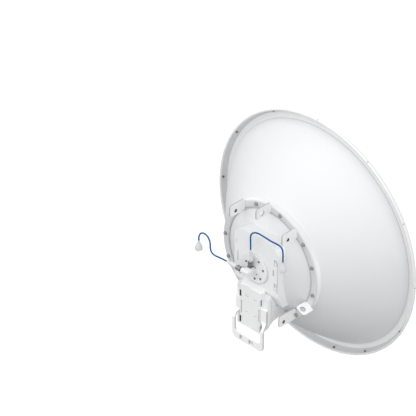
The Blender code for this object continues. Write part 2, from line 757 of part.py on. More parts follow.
def feed():
    """Rear-fed feed on the mouth side: collar, tube, dielectric cone and splash plate."""
    collar_back = bowl(MOUTH_HOLE_R)
    collar = [
        (0, FEED_COLLAR_FRONT),
        (FEED_TUBE_R + 4 * MM, FEED_COLLAR_FRONT),
        (FEED_COLLAR_R, FEED_COLLAR_FRONT - 6 * MM),
        (FEED_COLLAR_R, collar_back),
        (0, collar_back),
    ]
    turned("feed_collar", collar, PAINT, steps=FINE_STEPS, closed=False)
    start = FEED_COLLAR_FRONT + GAP
    tube = [(0, FEED_TUBE_FRONT), (FEED_TUBE_R, FEED_TUBE_FRONT), (FEED_TUBE_R, start), (0, start)]
    turned("feed_tube", tube, PLASTIC, steps=FINE_STEPS, closed=False)
    cone_start = FEED_TUBE_FRONT + GAP
    cone = [
        (0, FEED_CONE_FRONT),
        (FEED_CONE_R, FEED_CONE_FRONT),
        (FEED_CONE_R - 3 * MM, FEED_CONE_FRONT - 6 * MM),
        (FEED_TUBE_R + 2 * MM, cone_start),
        (0, cone_start),
    ]
    turned("feed_cone", cone, PLASTIC, steps=FINE_STEPS, closed=False)
    plate_start = FEED_CONE_FRONT + GAP
    plate_end = plate_start + SPLASH_THICK
    plate = [(0, plate_end), (SPLASH_R - 2 * MM, plate_end), (SPLASH_R, plate_end - 2 * MM)]
    plate += [(SPLASH_R, plate_start), (0, plate_start)]
    turned("splash_plate", plate, PLASTIC, steps=FINE_STEPS, closed=False)


reflector()
rim()
backing_ring()
for tab_name, tab_sizes in MAST_TABS.items():
    mast_tab(tab_name, *tab_sizes)
for tab_name, tab_sizes in LIFTING_TABS.items():
    lifting_tab(tab_name, *tab_sizes)
back_cover()
feed_flange()
feed_hub()
transducer_block()
port("port_vertical", PORT_UP, Matrix())
port("port_horizontal", PORT_LEFT, TO_LEFT)
jumpers()
mount_arm()
mount_plate()
arm_brace("arm_brace_left", ARM_LEFT - GAP, -HOOP_HALF)
arm_brace("arm_brace_right", ARM_RIGHT + GAP, HOOP_HALF)
pivot_lug("pivot_lug_left", ARM_LEFT - GAP, -HOOP_HALF)
pivot_lug("pivot_lug_right", ARM_RIGHT + GAP, HOOP_HALF)
hoop()
feed()
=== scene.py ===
# Looks of the parabolic dish antenna, seen from behind as in the photograph.
# Sizes are in millimetres in the antenna's own frame, as in the CAD source: +Y out of the dish's
# mouth, +X right, +Z up, zero in the middle of the backing ring's flat face.
import json
import math

import bmesh
import bpy
from mathutils import Matrix, Vector

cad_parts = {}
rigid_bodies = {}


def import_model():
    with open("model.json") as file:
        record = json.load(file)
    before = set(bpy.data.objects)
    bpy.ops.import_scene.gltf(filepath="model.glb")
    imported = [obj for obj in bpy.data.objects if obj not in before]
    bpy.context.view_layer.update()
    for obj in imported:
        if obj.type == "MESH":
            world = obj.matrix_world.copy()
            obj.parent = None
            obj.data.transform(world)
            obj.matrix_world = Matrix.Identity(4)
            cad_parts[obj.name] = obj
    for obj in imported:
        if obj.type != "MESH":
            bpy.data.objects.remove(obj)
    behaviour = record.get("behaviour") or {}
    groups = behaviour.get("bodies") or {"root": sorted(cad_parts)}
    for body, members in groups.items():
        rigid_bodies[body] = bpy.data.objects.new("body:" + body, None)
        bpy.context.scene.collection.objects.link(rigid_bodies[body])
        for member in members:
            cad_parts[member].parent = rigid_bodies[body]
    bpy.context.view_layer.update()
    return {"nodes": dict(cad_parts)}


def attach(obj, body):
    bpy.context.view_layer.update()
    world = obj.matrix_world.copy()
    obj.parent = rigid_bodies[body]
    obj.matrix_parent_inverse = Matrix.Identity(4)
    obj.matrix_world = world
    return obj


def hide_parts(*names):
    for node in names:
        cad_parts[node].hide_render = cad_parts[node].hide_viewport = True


for old in list(bpy.data.objects):
    bpy.data.objects.remove(old, do_unlink=True)

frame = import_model()

MM = 0.001
# Between pieces that would touch
GAP = 0.3
# The frame's zero point, in the antenna's own millimetres
ORIGIN = Vector((143, -20, 188))
TO_ROW = Matrix.Scale(MM, 4) @ Matrix.Translation(-ORIGIN)

# Dish
VERTEX = -64
FOCAL = 175
SHEET = 3
MOUTH_HOLE_R = 45
# Where the bowl ends, and where the band beyond it ends: the seam's joint, painted darker as shade in the
# crease
SEAM_R = 483
SEAM_END = 485.2
BOWL_R = 490
FLANGE_R = 508
FRONT = 283
# Between the bowl and the rim, which are two pieces
SPLIT = 0.1
# Middle and radius of the rim's rolled edge
CURL_AT = (524, 258)
CURL_R = 4
# The rim's outer wall from its rolled edge to the front, as (radius, depth) points
RIM_OUTSIDE = ((526, 264.5), (520.5, 270.5), (515.3, 276.6), (511.5, 280.6), (505, FRONT))
# Backing ring
RING_IN = 224
RING_OUT = 252
RING_WALL = 4
# Depth where the ring's outer wall starts, past its rounded edge
RING_SIDE_FROM = 5.5
# Inner radius of a grey band on the bowl inside the ring, a painted shadow of the ring's inner edge
RING_SHADOW_IN = 219

# Turns local +Z to +Y, to -Y and to -X
TO_BORESIGHT = Matrix.Rotation(-math.pi / 2, 4, "X")
TO_BACK = Matrix.Rotation(math.pi / 2, 4, "X")
TO_LEFT = Matrix.Rotation(-math.pi / 2, 4, "Y")


def bowl(radius):
    """Depth of the reflector's back surface along +Y at a radius."""
    return VERTEX + radius * radius / (4 * FOCAL)


# Camera

VIEW_AZIMUTH = math.radians(45)
VIEW_ELEVATION = math.radians(34.25)
PICTURE = 416
# Focal length in pixels of the picture, and distance from the ring's face in millimetres
FOCAL_PIXELS = 3448
CAMERA_DISTANCE = 13380
# Where the middle of the ring's face lies from the picture's middle, in pixels
RING_RIGHT = 61.4
RING_DOWN = 51.7

right = Vector((math.cos(VIEW_AZIMUTH), math.sin(VIEW_AZIMUTH), 0))
back = Vector((
    math.sin(VIEW_AZIMUTH) * math.cos(VIEW_ELEVATION),
    -math.cos(VIEW_AZIMUTH) * math.cos(VIEW_ELEVATION),
    math.sin(VIEW_ELEVATION),
))
up = back.cross(right)
per_pixel = CAMERA_DISTANCE / FOCAL_PIXELS
place = back * CAMERA_DISTANCE - right * RING_RIGHT * per_pixel + up * RING_DOWN * per_pixel
camera_data = bpy.data.cameras.new("camera")
camera_data.sensor_width = 36
camera_data.lens = camera_data.sensor_width * FOCAL_PIXELS / PICTURE
camera_data.clip_end = 200
camera = bpy.data.objects.new("camera", camera_data)
bpy.context.scene.collection.objects.link(camera)
camera_turn = Matrix((right, up, back)).transposed().to_4x4()
camera.matrix_world = Matrix.Translation(TO_ROW @ place) @ camera_turn
bpy.context.scene.camera = camera


# Materials

# How far the gloss strays either way, and the least roughness
GLOSS_SWING = 0.08
LEAST_ROUGHNESS = 0.02
# How squarely a face is turned to an axis where its shade starts to change, and where it has changed
TURN_START = 0.55
TURN_FULL = 0.9
SPIN_MARK_SCALE = 25 / 3


def nodes_of(material):
    return material.node_tree.nodes, material.node_tree.links


def surface(name, colour, roughness, tint, tint_size, grain, bump, metallic=0.0, **more):
    """A procedural finish: slow changes of tint and gloss, and fine grain in the bump. Sizes in metres."""
    made = bpy.data.materials.new(name)
    made.use_nodes = True
    nodes, links = nodes_of(made)
    shader = nodes["Principled BSDF"]
    shader.inputs["Metallic"].default_value = metallic
    for socket, value in more.items():
        shader.inputs[socket].default_value = value
    coords = nodes.new("ShaderNodeTexCoord")
    slow = nodes.new("ShaderNodeTexNoise")
    slow.inputs["Scale"].default_value = 1 / tint_size
    slow.inputs["Detail"].default_value = 5
    links.new(coords.outputs["Object"], slow.inputs["Vector"])
    ramp = nodes.new("ShaderNodeValToRGB")
    ramp.color_ramp.elements[0].position = 0.3
    ramp.color_ramp.elements[1].position = 0.7
    ramp.color_ramp.elements[0].color = (*[c * (1 - tint) for c in colour], 1)
    ramp.color_ramp.elements[1].color = (*[min(1, c * (1 + tint)) for c in colour], 1)
    links.new(slow.outputs["Fac"], ramp.inputs["Fac"])
    links.new(ramp.outputs["Color"], shader.inputs["Base Color"])
    gloss = nodes.new("ShaderNodeMapRange")
    gloss.inputs["To Min"].default_value = max(LEAST_ROUGHNESS, roughness - GLOSS_SWING)
    gloss.inputs["To Max"].default_value = min(1, roughness + GLOSS_SWING)
    links.new(slow.outputs["Fac"], gloss.inputs["Value"])
    links.new(gloss.outputs["Result"], shader.inputs["Roughness"])
    fine = nodes.new("ShaderNodeTexNoise")
    fine.inputs["Scale"].default_value = 1 / grain
    fine.inputs["Detail"].default_value = 3
    links.new(coords.outputs["Object"], fine.inputs["Vector"])
    relief = nodes.new("ShaderNodeBump")
    relief.inputs["Strength"].default_value = bump
    relief.inputs["Distance"].default_value = grain / 4
    links.new(fine.outputs["Fac"], relief.inputs["Height"])
    links.new(relief.outputs["Normal"], shader.inputs["Normal"])
    return made


def add_spin_marks(material):
    """Faint rings about the dish's axis, as a spun sheet shows under its paint."""
    nodes, links = nodes_of(material)
    coords = nodes["Texture Coordinate"]
    shift = nodes.new("ShaderNodeMapping")
    shift.inputs["Location"].default_value = ORIGIN * MM
    links.new(coords.outputs["Object"], shift.inputs["Vector"])
    rings = nodes.new("ShaderNodeTexWave")
    rings.wave_type = "RINGS"
    rings.rings_direction = "Y"
    rings.inputs["Scale"].default_value = SPIN_MARK_SCALE
    rings.inputs["Distortion"].default_value = 0.6
    rings.inputs["Detail"].default_value = 2
    links.new(shift.outputs["Vector"], rings.inputs["Vector"])
    marks = nodes.new("ShaderNodeBump")
    marks.inputs["Strength"].default_value = 0.05
    marks.inputs["Distance"].default_value = 0.0002
    links.new(rings.outputs["Fac"], marks.inputs["Height"])
    links.new(nodes["Bump"].outputs["Normal"], marks.inputs["Normal"])
    links.new(marks.outputs["Normal"], nodes["Principled BSDF"].inputs["Normal"])


def shade_by_facing(material, axis, facing, aside):
    """Paints shade into the colour: scales the colour of faces turned along an axis, either way, and of
    those turned aside.
    """
    nodes, links = nodes_of(material)
    turned_to = nodes.new("ShaderNodeVectorMath")
    turned_to.operation = "DOT_PRODUCT"
    turned_to.inputs[1].default_value = axis
    links.new(nodes["Texture Coordinate"].outputs["Normal"], turned_to.inputs[0])
    size = nodes.new("ShaderNodeMath")
    size.operation = "ABSOLUTE"
    links.new(turned_to.outputs["Value"], size.inputs[0])
    share = nodes.new("ShaderNodeMapRange")
    share.inputs["From Min"].default_value = TURN_START
    share.inputs["From Max"].default_value = TURN_FULL
    share.inputs["To Min"].default_value = aside
    share.inputs["To Max"].default_value = facing
    links.new(size.outputs["Value"], share.inputs["Value"])
    scaled = nodes.new("ShaderNodeVectorMath")
    scaled.operation = "SCALE"
    links.new(nodes["Color Ramp"].outputs["Color"], scaled.inputs[0])
    links.new(share.outputs["Result"], scaled.inputs["Scale"])
    links.new(scaled.outputs["Vector"], nodes["Principled BSDF"].inputs["Base Color"])


def paint(name, colour, roughness, tint=0.01, tint_size=0.2, bump=0.08):
    return surface(name, colour, roughness, tint, tint_size, grain=0.0012, bump=bump)


def coat(name, colour, tint=0.015, tint_size=0.1):
    return surface(name, colour, 0.5, tint, tint_size, grain=0.0009, bump=0.16)


def plastic(name, colour, roughness=0.5, tint=0.01, tint_size=0.1):
    return surface(name, colour, roughness, tint, tint_size, grain=0.0006, bump=0.2)


def metal(name, colour, roughness, metallic, tint, tint_size=0.008, bump=0.1):
    return surface(name, colour, roughness, tint, tint_size, grain=0.0003, bump=bump, metallic=metallic)


# Many whites below are lit and shaded copies of one paint, with light and shade painted into their colour,
# and some are painted darker by facing
DISH_WHITE = paint("dish_paint", (0.804, 0.812, 0.825), 0.42, tint=0.012, tint_size=0.3)
add_spin_marks(DISH_WHITE)
# Brighter than the dish's paint: painted light on the rim against the lip's shade; the feed's collar shares
# it
RIM_WHITE = paint("rim_paint_painted_light", (0.94, 0.942, 0.946), 0.4)
# Darker as painted shade on the inner wall of the rim's lip
RIM_GREY = paint("rim_inner_wall_painted_shade", (0.68, 0.684, 0.692), 0.5, tint=0.02, bump=0.1)
RIM_EDGE = paint("rim_rolled_edge", (0.88, 0.881, 0.884), 0.45, bump=0.06)
RIM_SIDE = paint("rim_outer_wall", (0.92, 0.921, 0.924), 0.45)
# The seam at the bowl's edge, a dark joint made darker still as painted shade in the crease
SEAM_AND_SHADE = paint("bowl_edge_seam_and_shade", (0.66, 0.664, 0.67), 0.5, tint=0.02, tint_size=0.1, bump=0.1)
# The ring is one coat: its face is painted darker as shade, its outer wall brighter as painted light and
# darker again where that wall faces up or down
RING_GREY = coat("ring_face_painted_shade", (0.715, 0.72, 0.73), tint=0.02)
RING_SIDE = coat("ring_side_painted_light_and_shade", (0.96, 0.961, 0.964))
shade_by_facing(RING_SIDE, (0.35, 0, 0.94), 0.81, 1)
BEAD_WHITE = coat("weld_bead_coat", (0.90, 0.902, 0.906), tint_size=0.05)
# Tab coats: faces across a tab's thickness are painted darker as shade on its edges, and some tabs get
# darker copies as painted shade
TAB_WHITE = coat("tab_coat", (0.955, 0.956, 0.96))
shade_by_facing(TAB_WHITE, (1, 0, 0), 1, 0.5)
TOP_TAB_WHITE = coat("top_tab_painted_shade", (0.875, 0.877, 0.881))
shade_by_facing(TOP_TAB_WHITE, (1, 0, 0), 1, 0.5)
LOW_TAB_WHITE = coat("low_tab_painted_shade", (0.91, 0.912, 0.916))
shade_by_facing(LOW_TAB_WHITE, (-0.454, 0, -0.891), 1, 0.6)
MOULDED = plastic("moulded_plastic", (0.925, 0.928, 0.934), tint_size=0.15)
# Painted darker on faces turned up or down, as painted shade on the cover's top
COVER_WHITE = plastic("cover_plastic_painted_shade", (0.925, 0.928, 0.934), tint_size=0.15)
shade_by_facing(COVER_WHITE, (0, 0, 1), 0.82, 1)
# Painted darker on faces turned up and back, as painted shade on the arm's top
ARM_WHITE = plastic("arm_plastic_painted_shade", (0.925, 0.928, 0.934), tint_size=0.15)
shade_by_facing(ARM_WHITE, (0, -0.5, 0.87), 0.92, 1)
CAST = plastic("cast_block_coat", (0.81, 0.813, 0.82), tint=0.02, tint_size=0.05)
# A darker copy of the moulded plastic as painted shade, darker again on faces turned up and back
LUG_WHITE = plastic("lug_plastic_painted_shade", (0.90, 0.903, 0.908))
shade_by_facing(LUG_WHITE, (0, -0.6, 0.8), 0.8, 1)
# Painted half as bright on faces turned to either side, as painted shade on the hoop's sides
HOOP_WHITE = plastic("hoop_plastic_painted_shade", (0.96, 0.961, 0.965))
shade_by_facing(HOOP_WHITE, (1, 0, 0), 0.5, 1)
# Greys put where there is only shade: painted shade on latch and slot floors, pockets and an edge line, and
# painted shadow under the flange's edge
PAINTED_SHADE = plastic("shaded_plastic", (0.54, 0.545, 0.56), 0.6, tint=0.04, tint_size=0.02)
SOFT_PAINTED_SHADE = plastic("lightly_shaded_plastic", (0.72, 0.725, 0.735), 0.6, tint=0.03, tint_size=0.02)
# Black rubber for grommets and seals, and black sheets as painted shade in the mount's pockets and slots
RUBBER_AND_SHADE = surface(
    "dark_rubber_and_painted_shade", (0.035, 0.035, 0.04), 0.7, tint=0.2, tint_size=0.02, grain=0.0005, bump=0.25,
)
# A grey painted shadow beside the ring's inner edge
RING_SHADOW = plastic("edge_painted_shadow", (0.57, 0.575, 0.585), 0.6, tint=0.04, tint_size=0.03)
STEEL = metal("nickel_plate", (0.34, 0.34, 0.345), 0.24, 1.0, tint=0.05, tint_size=0.01, bump=0.05)
BOLT_STEEL = metal("dark_zinc", (0.22, 0.22, 0.225), 0.4, 0.7, tint=0.12)
MID_STEEL = metal("worn_zinc", (0.38, 0.38, 0.385), 0.45, 0.5, tint=0.1)
LIGHT_STEEL = metal("light_zinc", (0.52, 0.52, 0.525), 0.45, 0.4, tint=0.08)
BRASS = metal("gold_contact", (0.80, 0.58, 0.26), 0.25, 1.0, tint=0.05, tint_size=0.004, bump=0.05)
MILKY = surface(
    "milky_sleeve", (0.85, 0.855, 0.89), 0.3, tint=0.02, tint_size=0.02, grain=0.0006, bump=0.06,
    **{"Transmission Weight": 0.2},
)
BLUE = surface(
    "blue_jacket", (0.0005, 0.105, 0.31), 0.6, tint=0.06, tint_size=0.03, grain=0.0005, bump=0.1,
    **{"Specular IOR Level": 0.05},
)


# Mesh helpers

# Edges sharper than this many degrees stay sharp
SHARP_FROM = 32


def lathe_into(shape, profile, pose, steps=32, knurl=0, knurl_over=0):
    """Spins (radius, height) points about local Z, and closes a profile that has no end on the axis.

    Points on the axis become one vertex. Beyond the radius knurl_over, every second vertex is set in.
    """
    rings = []
    for radius, height in profile:
        if radius == 0:
            rings.append([shape.verts.new(pose @ Vector((0, 0, height)))])
            continue
        ring = []
        for i in range(steps):
            angle = 2 * math.pi * i / steps
            cut = knurl if i % 2 and radius > knurl_over else 0
            ring.append(shape.verts.new(pose @ Vector((
                (radius - cut) * math.cos(angle), (radius - cut) * math.sin(angle), height,
            ))))
        rings.append(ring)
    pairs = list(zip(rings, rings[1:]))
    if profile[0][0] and profile[-1][0]:
        pairs.append((rings[-1], rings[0]))
    for a, b in pairs:
        for i in range(steps):
            j = (i + 1) % steps
            corners = [a[i % len(a)], a[j % len(a)], b[j % len(b)], b[i % len(b)]]
            corners = [v for k, v in enumerate(corners) if v not in corners[:k]]
            if len(corners) > 2:
                shape.faces.new(corners)


def round_edges(shape, edges, width, segments, profile):
    bmesh.ops.bevel(
        shape, geom=edges, offset=width, segments=segments, profile=profile, affect="EDGES",
        clamp_overlap=True,
    )


def box_into(shape, low, high, pose=Matrix(), chamfer=0.0):
    """A box between two corners, with its edges rounded off if asked.

    It is built apart and added whole, so that the order of the faces is the same in each run.
    """
    box = bmesh.new()
    bmesh.ops.create_cube(box, size=1)
    size = Vector(high) - Vector(low)
    middle = (Vector(high) + Vector(low)) / 2
    for vert in box.verts:
        vert.co = Vector([c * s for c, s in zip(vert.co, size)]) + middle
    if chamfer:
        round_edges(box, box.edges[:], chamfer, 2, 0.7)
    box.transform(pose)
    mesh = bpy.data.meshes.new("box")
    box.to_mesh(mesh)
    box.free()
    shape.from_mesh(mesh)
    bpy.data.meshes.remove(mesh)


def finish_piece(name, shape, material, replaces=()):
    """Turns a bmesh in antenna millimetres into a piece that rides on the antenna."""
    bmesh.ops.recalc_face_normals(shape, faces=shape.faces)
    for face in shape.faces:
        face.smooth = True
    mesh = bpy.data.meshes.new(name)
    shape.transform(TO_ROW)
    shape.to_mesh(mesh)
    shape.free()
    mesh.materials.append(material)
    mesh.set_sharp_from_angle(angle=math.radians(SHARP_FROM))
    piece = bpy.data.objects.new(name, mesh)
    bpy.context.scene.collection.objects.link(piece)
    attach(piece, "root")
    if replaces:
        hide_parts(*replaces)
    return piece


def turned(name, profile, pose, material, replaces=(), steps=48):
    shape = bmesh.new()
    lathe_into(shape, profile, pose, steps)
    return finish_piece(name, shape, material, replaces)


def band_finishes(piece, steps, bands):
    """Gives runs of a turned piece's profile their own finish."""
    for material, segments in bands:
        piece.data.materials.append(material)
        for segment in segments:
            for i in range(segment * steps, (segment + 1) * steps):
                piece.data.polygons[i].material_index = len(piece.data.materials) - 1


def at(x, y, z, turn=Matrix()):
    return Matrix.Translation((x, y, z)) @ turn


def arc(x, y, radius, start, end, count):
    """Points on an arc, with its angles in degrees."""
    return [
        (
            x + radius * math.cos(math.radians(start + (end - start) * i / count)),
            y + radius * math.sin(math.radians(start + (end - start) * i / count)),
        )
        for i in range(count + 1)
    ]


# Reflector, rim and ring, in place of the CAD solids of the same names


def dish():
    steps = 160
    stations = 48
    radii = [MOUTH_HOLE_R + (SEAM_R - MOUTH_HOLE_R) * i / stations for i in range(stations + 1)]
    profile = [(r, bowl(r)) for r in radii]
    front = []
    for r in radii:
        slope = r / (2 * FOCAL)
        length = math.hypot(1, slope)
        front.append((r - SHEET * slope / length, bowl(r) + SHEET / length))
    turned("dish_bowl", profile + front[::-1], TO_BORESIGHT, DISH_WHITE, ["reflector"], steps)
    start = SEAM_R + SPLIT
    seam = [(start, bowl(start)), (SEAM_END, bowl(SEAM_END))]
    edge = bowl(BOWL_R)
    flange = [(BOWL_R, edge), (BOWL_R + 2, edge + 0.8), (FLANGE_R, edge + 1)]
    wall = [(FLANGE_R + 3.2, edge + 0.2), (FLANGE_R + 5.6, edge - 2)]
    curl = arc(*CURL_AT, CURL_R, 150, 390, 12)
    inside = [(BOWL_R + 1, FRONT - 0.2), (BOWL_R - 2.5, FRONT - 2.4)]
    inside.append((front[-1][0] + SPLIT, front[-1][1] + SPLIT))
    profile = seam + flange + wall + curl + list(RIM_OUTSIDE) + inside
    rim = turned("dish_rim", profile, TO_BORESIGHT, RIM_WHITE, ["rim"], steps)
    wall_start = len(seam + flange) - 1
    curl_start = len(seam + flange + wall)
    curl_end = curl_start + len(curl) - 1
    # The seam band and the lip's inner wall get darker whites as painted shade, the rest of the rim a
    # brighter one as painted light
    band_finishes(rim, steps, (
        (SEAM_AND_SHADE, [0]),
        (RIM_GREY, range(wall_start, curl_start)),
        (RIM_EDGE, range(curl_start, curl_end)),
        (RIM_SIDE, range(curl_end, curl_end + len(RIM_OUTSIDE))),
    ))


def ring():
    steps = 144
    foot = RING_OUT - RING_WALL
    profile = [(RING_IN, bowl(RING_IN) - GAP)]
    profile += arc(RING_IN + 2, 2, 2, 180, 270, 4)
    profile += arc(RING_OUT - 4, 4, 4, 270, 360, 6)
    side = len(profile)
    profile += [(RING_OUT, RING_SIDE_FROM), (RING_OUT, bowl(RING_OUT) - GAP), (foot, bowl(foot) - GAP)]
    profile += [(foot - 1, RING_WALL + 2), (foot - 3, RING_WALL), (RING_IN + RING_WALL, RING_WALL)]
    profile += [(RING_IN + RING_WALL, bowl(RING_IN + RING_WALL) - GAP)]
    piece = turned("pressed_ring", profile, TO_BORESIGHT, RING_GREY, ["backing_ring"], steps)
    band_finishes(piece, steps, [(RING_SIDE, [side])])
    # A grey band on the bowl just inside the ring: the ring's edge shadow, painted
    ring_shadow_out = RING_IN - GAP
    profile = [(RING_SHADOW_IN, bowl(RING_SHADOW_IN) - GAP), (RING_SHADOW_IN, 0.4), (RING_SHADOW_IN + 1.5, -0.1)]
    profile += [(ring_shadow_out, -0.2), (ring_shadow_out, bowl(ring_shadow_out) - GAP)]
    turned("ring_edge_painted_shadow", profile, TO_BORESIGHT, RING_SHADOW, steps=steps)


# Fasteners


def radial(angle, radius, depth, turn):
    """A pose on a circle about the dish's axis, angle counted from +X towards +Z."""
    return Matrix.Rotation(-math.radians(angle), 4, "Y") @ at(radius, depth, 0, turn)


def hex_head(shape, pose, across, height, washer, thick):
    """Hexagon head with a chamfered top, on a washer of a given radius and thickness."""
    disc = [(0, 0), (washer, 0), (washer, thick * 0.8), (washer * 0.97, thick), (0, thick)]
    lathe_into(shape, disc, pose, 32)
    corner = across / math.sqrt(3)
    head = [(0, thick), (corner, thick), (corner, thick + height * 0.8), (corner * 0.86, thick + height)]
    lathe_into(shape, head + [(0, thick + height)], pose, 6)


def socket_head(shape, pose, radius, height):
    """Round head with a round recess."""
    top = [(0, 0), (radius, 0), (radius, height * 0.8), (radius * 0.9, height)]
    recess = [(radius * 0.5, height), (radius * 0.5, height * 0.35), (0, height * 0.35)]
    lathe_into(shape, top + recess, pose, 24)


def pan_head(shape, pose, radius, height):
    dome = [(0, 0), (radius, 0)] + arc(0, 0, 1, 15, 75, 4)
    dome = dome[:2] + [(radius * x, height * z) for x, z in dome[2:]] + [(0, height)]
    lathe_into(shape, dome, pose, 20)


RING_BOLT_ANGLES = (107.7, 76.7, 41.6, 17.9, -12.7, -51.5, 177.5, 202.3, 138, 232, 260, 285)
RING_BOLT_R = 239
# Width across flats, then the washer's radius and thickness
RING_HEX = 13
RING_WASHER = (8.4, 1.4)
RIM_SCREW_ANGLES = (0, 30, 60, 90, 118, 149, 178, 210, 240, 282, 302, 331)
RIM_SCREW_DEPTH = 267
RIM_HEAD_DEPTH = 258.5
RIM_NUT_R = 518
RIM_HEAD_R = 526.9
FLANGE_BACK = -82.3
FLANGE_SCREW_ANGLES = (164, 110, 61, 13, -47, -88, 218)
FLANGE_SCREW_R = 47
HUB_SCREW_ANGLES = (60, -30, -120, 150)
HUB_SCREW_R = 21
HUB_X, HUB_Z = -5, -11
HUB_BACK = -84.2


def fasteners():
    shape = bmesh.new()
    for angle in RING_BOLT_ANGLES:
        hex_head(shape, radial(angle, RING_BOLT_R, -0.05, TO_BACK), RING_HEX, 5.5, *RING_WASHER)
    finish_piece("ring_bolts", shape, MID_STEEL)
    shape = bmesh.new()
    lean = Matrix.Rotation(math.atan(RING_BOLT_R / (2 * FOCAL)), 4, "Z")
    front = bowl(RING_BOLT_R) + SHEET * math.hypot(1, RING_BOLT_R / (2 * FOCAL))
    for angle in RING_BOLT_ANGLES:
        pose = radial(angle, RING_BOLT_R, front, lean @ TO_BORESIGHT)
        hex_head(shape, pose, RING_HEX, 6.5, *RING_WASHER)
        lathe_into(shape, [(0, 7.9), (4, 7.9), (4, 10.5), (3.4, 11.2), (0, 11.2)], pose, 20)
    finish_piece("ring_nuts", shape, BOLT_STEEL)
    outward = Matrix.Rotation(math.pi / 2, 4, "Y")
    inward = Matrix.Rotation(-math.pi / 2, 4, "Y")
    tilt = Matrix.Rotation(math.radians(20), 4, "Z")
    heads = bmesh.new()
    nuts = bmesh.new()
    for angle in RIM_SCREW_ANGLES:
        pan_head(heads, radial(angle, RIM_HEAD_R, RIM_HEAD_DEPTH, outward), 3.8, 1.4)
        pose = radial(angle, RIM_NUT_R, RIM_SCREW_DEPTH, tilt @ inward)
        hex_head(nuts, pose, 8, 3.6, 5, 1)
        lathe_into(nuts, [(0, 4.7), (2.2, 4.7), (2.2, 6.2), (1.8, 6.6), (0, 6.6)], pose, 16)
    finish_piece("rim_screws", heads, LIGHT_STEEL)
    finish_piece("rim_nuts", nuts, BOLT_STEEL)
    shape = bmesh.new()
    for angle in FLANGE_SCREW_ANGLES:
        socket_head(shape, radial(angle, FLANGE_SCREW_R, FLANGE_BACK, TO_BACK), 4.6, 2.2)
    for angle in HUB_SCREW_ANGLES:
        x = HUB_X + HUB_SCREW_R * math.cos(math.radians(angle))
        z = HUB_Z + HUB_SCREW_R * math.sin(math.radians(angle))
        socket_head(shape, at(x, HUB_BACK, z, TO_BACK), 2.8, 1.2)
    finish_piece("flange_screws", shape, BOLT_STEEL)


# Tabs: dark grommets in the bolt holes and weld beads at the feet

TAB_THICK = 6
TAB_X = 140
# Side, lowest and highest z, then the hole's reach and z
MAST_TABS = ((-1, 168, 221, 48, 187), (1, 168, 221, 48, 187), (1, -210, -157, 65, -191))
# Angle in degrees, inner and outer radius
LIFTING_TABS = ((90, 222, 270), (-27, 220, 267))
TAB_HOLE_R = 7.5
GROMMET_WALL = 2.2
# How much shorter at each end a bead is than its tab, and how far it stands out from the ring's face
BEAD_SHORT = 6
BEAD_HIGH = 2.4


def weld_bead(shape, pose, low, high, reach):
    """Two round-topped beads on the ring's face, one on each side of a tab's foot."""
    low = max(low + BEAD_SHORT, -reach)
    high = min(high - BEAD_SHORT, reach)
    for side in (-1, 1):
        left, right = sorted((side * (TAB_THICK / 2 - 0.5), side * (TAB_THICK / 2 + 2.6)))
        box_into(shape, (left, -BEAD_HIGH, low), (right, 0.1, high), pose, 1.1)


def tabs():
    beads = bmesh.new()
    grommets = bmesh.new()
    for side, low, high, reach, height in MAST_TABS:
        pose = at(side * TAB_X, 0, 0)
        weld_bead(beads, pose, low, high, math.sqrt((RING_OUT - 2) ** 2 - TAB_X**2))
        half = TAB_THICK / 2 + 0.3
        hole = TAB_HOLE_R - 0.1
        inner = hole - GROMMET_WALL
        profile = [(inner, -half + 0.4), (inner + 0.4, -half), (hole - 0.4, -half), (hole, -half + 0.4)]
        profile += [(hole, half - 0.4), (hole - 0.4, half), (inner + 0.4, half), (inner, half - 0.4)]
        lathe_into(grommets, profile, pose @ at(0, -reach, height, TO_LEFT), 32)
    for angle, low, high in LIFTING_TABS:
        weld_bead(beads, Matrix.Rotation(math.radians(90 - angle), 4, "Y"), low, high, RING_OUT - 2)
    finish_piece("tab_weld_beads", beads, BEAD_WHITE)
    finish_piece("tab_hole_grommets", grommets, RUBBER_AND_SHADE)


# Back cover: raised line inside its edge, latches and slots with floors painted dark as shade, and the
# flange's gasket greyed as painted shadow

COVER_BACK = -75
COVER_HALF = 117
COVER_TOP = 153
COVER_TOP_CORNER = 60
COVER_LOW = -88
# Left, lowest, right and highest; the last is a line of painted shade along the right edge
LATCHES = ((96, 57, 112.9, 88), (97, -58, 112.9, -23))
COVER_SLOTS = ((90.5, 8, 97.5, 36), (-108, 68, -104, 88), (-99.5, -12, -95.5, 35))
EDGE_LINE = (113.2, -67, 116.4, 80)
# How far the raised line runs inside the outline: its outer and inner edge
RAISED_LINE = (8.5, 11)


def cover_outline(inset):
    """The cover's outline at an inset, open at its lower end."""
    half = COVER_HALF - inset
    corner = COVER_TOP_CORNER - inset
    top = COVER_TOP - inset
    points = [(half, COVER_LOW)] + arc(half - corner, top - corner, corner, 0, 90, 16)
    points += arc(-half + corner, top - corner, corner, 90, 180, 16) + [(-half, COVER_LOW)]
    return points


def strip_into(shape, outer, inner, back, front):
    """A raised strip between two open outlines in XZ, from depth back to depth front."""
    loops = []
    for points, depth in ((outer, front), (outer, back), (inner, back), (inner, front)):
        loops.append([shape.verts.new((x, depth, z)) for x, z in points])
    for a, b in zip(loops, loops[1:] + loops[:1]):
        for i in range(len(a) - 1):
            shape.faces.new((a[i], a[i + 1], b[i + 1], b[i]))
    for end in (0, -1):
        shape.faces.new([loop[end] for loop in loops])


